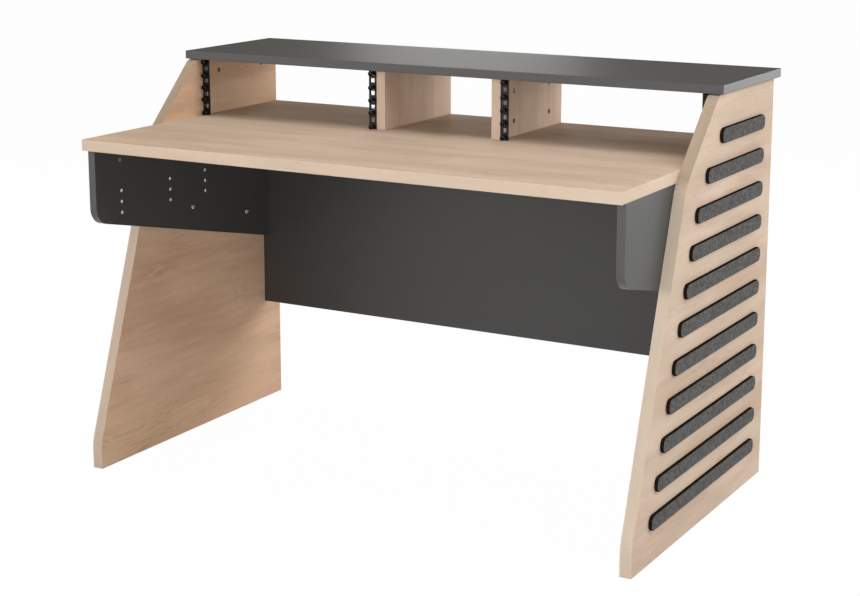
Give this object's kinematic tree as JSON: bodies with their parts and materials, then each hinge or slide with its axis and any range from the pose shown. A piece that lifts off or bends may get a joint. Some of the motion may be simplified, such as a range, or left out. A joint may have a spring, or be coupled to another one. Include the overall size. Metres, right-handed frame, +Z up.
{
  "type": "studio desk",
  "caption": "Studio desk with slanted oak side panels, raised felt strips, a dark top shelf over open rack bays with rails, a modesty panel and brackets for a sliding tray.",
  "frame": {"origin": "on the floor, under the middle of the desk's outer box", "axes": "+X to the right of the person at the desk, +Y away from that person towards the back, +Z up"},
  "size_m": [1.351, 0.774, 0.919],
  "materials": {
    "oak": "light oak decor on faced board, matte with a fine pore relief",
    "anthracite_board": "dark grey faced board, matte, fine pearl texture",
    "black_steel": "black powder coat, satin",
    "felt": "pressed felt, mottled grey",
    "nickel": "nickel plated, satin"
  },
  "bodies": {
    "root": {"desktop": "oak", "top_shelf": "anthracite_board", "modesty_panel": "anthracite_board", "left_side_panel": "oak", "right_side_panel": "oak", "left_divider": "oak", "right_divider": "oak", "left_tray_bracket": "anthracite_board", "right_tray_bracket": "anthracite_board", "left_bracket_screw_1": "nickel", "left_bracket_screw_2": "nickel", "right_bracket_screw_1": "nickel", "right_bracket_screw_2": "nickel", "left_bay_outer_rail": "black_steel", "left_bay_outer_rail_screw_1": "black_steel", "left_bay_outer_rail_screw_2": "black_steel", "left_bay_outer_rail_screw_3": "black_steel", "left_bay_outer_rail_screw_4": "black_steel", "left_bay_outer_rail_screw_5": "black_steel", "left_bay_inner_rail": "black_steel", "left_bay_inner_rail_screw_1": "black_steel", "left_bay_inner_rail_screw_2": "black_steel", "left_bay_inner_rail_screw_3": "black_steel", "left_bay_inner_rail_screw_4": "black_steel", "left_bay_inner_rail_screw_5": "black_steel", "right_bay_outer_rail": "black_steel", "right_bay_outer_rail_screw_1": "black_steel", "right_bay_outer_rail_screw_2": "black_steel", "right_bay_outer_rail_screw_3": "black_steel", "right_bay_outer_rail_screw_4": "black_steel", "right_bay_outer_rail_screw_5": "black_steel", "right_bay_inner_rail": "black_steel", "right_bay_inner_rail_screw_1": "black_steel", "right_bay_inner_rail_screw_2": "black_steel", "right_bay_inner_rail_screw_3": "black_steel", "right_bay_inner_rail_screw_4": "black_steel", "right_bay_inner_rail_screw_5": "black_steel", "left_felt_strip_1": "felt", "left_felt_strip_2": "felt", "left_felt_strip_3": "felt", "left_felt_strip_4": "felt", "left_felt_strip_5": "felt", "left_felt_strip_6": "felt", "left_felt_strip_7": "felt", "left_felt_strip_8": "felt", "left_felt_strip_9": "felt", "left_felt_strip_10": "felt", "left_felt_strip_11": "felt", "right_felt_strip_1": "felt", "right_felt_strip_2": "felt", "right_felt_strip_3": "felt", "right_felt_strip_4": "felt", "right_felt_strip_5": "felt", "right_felt_strip_6": "felt", "right_felt_strip_7": "felt", "right_felt_strip_8": "felt", "right_felt_strip_9": "felt", "right_felt_strip_10": "felt", "right_felt_strip_11": "felt"}
  },
  "joints": []
}
